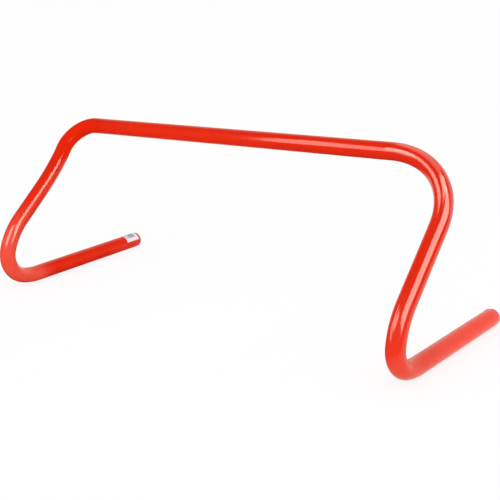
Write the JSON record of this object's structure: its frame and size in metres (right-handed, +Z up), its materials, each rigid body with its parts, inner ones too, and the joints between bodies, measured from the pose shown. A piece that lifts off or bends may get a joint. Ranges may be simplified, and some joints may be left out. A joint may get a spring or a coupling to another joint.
{
  "type": "speed hurdle",
  "caption": "Low training hurdle bent from a single red plastic tube, with forward-sloping legs, straight ground feet and domed end plugs.",
  "frame": {"origin": "on the floor, under the middle of the hurdle's overall box", "axes": "+X along the crossbar towards the right foot, +Y back along the feet, +Z up"},
  "size_m": [0.6111, 0.2622, 0.203],
  "materials": {
    "tube_plastic": "glossy red extruded PVC",
    "plug_plastic": "satin red moulded plastic",
    "label_paper": "white coated paper"
  },
  "bodies": {
    "root": {"frame_tube": "tube_plastic", "left_end_plug": "plug_plastic", "right_end_plug": "plug_plastic", "paper_label": "label_paper"}
  },
  "joints": []
}
